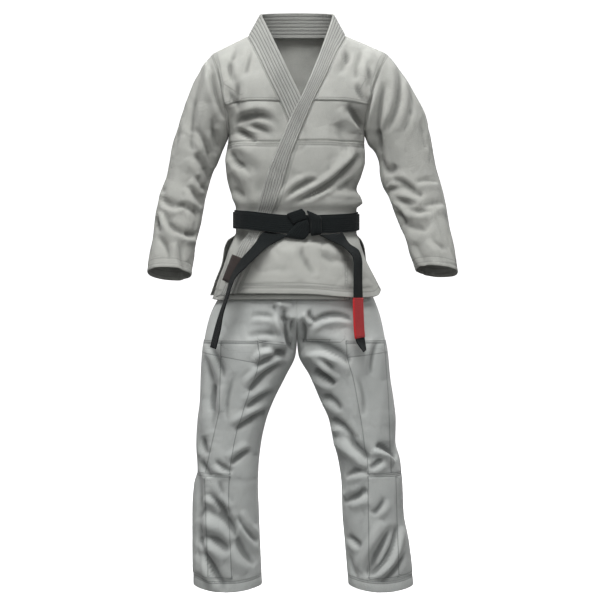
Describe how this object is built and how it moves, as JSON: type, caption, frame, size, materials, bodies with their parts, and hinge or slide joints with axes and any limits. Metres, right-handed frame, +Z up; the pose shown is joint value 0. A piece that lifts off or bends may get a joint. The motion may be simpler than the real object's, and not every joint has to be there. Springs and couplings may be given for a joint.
{
  "type": "jiu-jitsu gi",
  "caption": "Martial arts suit as worn: wrapped jacket with a thick stitched lapel, tied belt with hanging ends, and straight trousers with knee patches.",
  "frame": {"origin": "middle of the shoulder line at the base of the neck, where the wearer carries the jacket", "axes": "+Z up, the chest faces -Y, +X towards the wearer's left"},
  "size_m": [0.766, 0.2808, 1.4373],
  "materials": {
    "jacket_cloth": "pearl weave, matte",
    "trouser_cloth": "smooth twill, slight sheen",
    "belt_cloth": "row-stitched cotton, matte",
    "bar_cloth": "cotton, matte",
    "patch_cloth": "woven patch, bare"
  },
  "bodies": {
    "root": {"back_lower": "jacket_cloth", "back_upper": "jacket_cloth", "belt_inner_wrap": "belt_cloth", "belt_outer_wrap": "belt_cloth", "belt_tail_left": "belt_cloth", "belt_tail_right": "belt_cloth", "front_left_lower": "jacket_cloth", "front_left_upper": "jacket_cloth", "front_right_lower": "jacket_cloth", "front_right_upper": "jacket_cloth", "knot_flap": "belt_cloth", "knot_loop": "belt_cloth", "knot_lower_fold": "belt_cloth", "lapel_and_collar": "jacket_cloth", "lapel_patch": "patch_cloth", "leg_back_left": "trouser_cloth", "leg_back_right": "trouser_cloth", "leg_front_left": "trouser_cloth", "leg_front_right": "trouser_cloth", "rank_bar": "bar_cloth", "shin_patch_left": "trouser_cloth", "shin_patch_right": "trouser_cloth", "sleeve_left": "jacket_cloth", "sleeve_right": "jacket_cloth", "thigh_patch_left": "trouser_cloth", "thigh_patch_right": "trouser_cloth", "waistband": "trouser_cloth", "yoke_back": "jacket_cloth", "yoke_front_left": "jacket_cloth", "yoke_front_right": "jacket_cloth"}
  },
  "joints": []
}
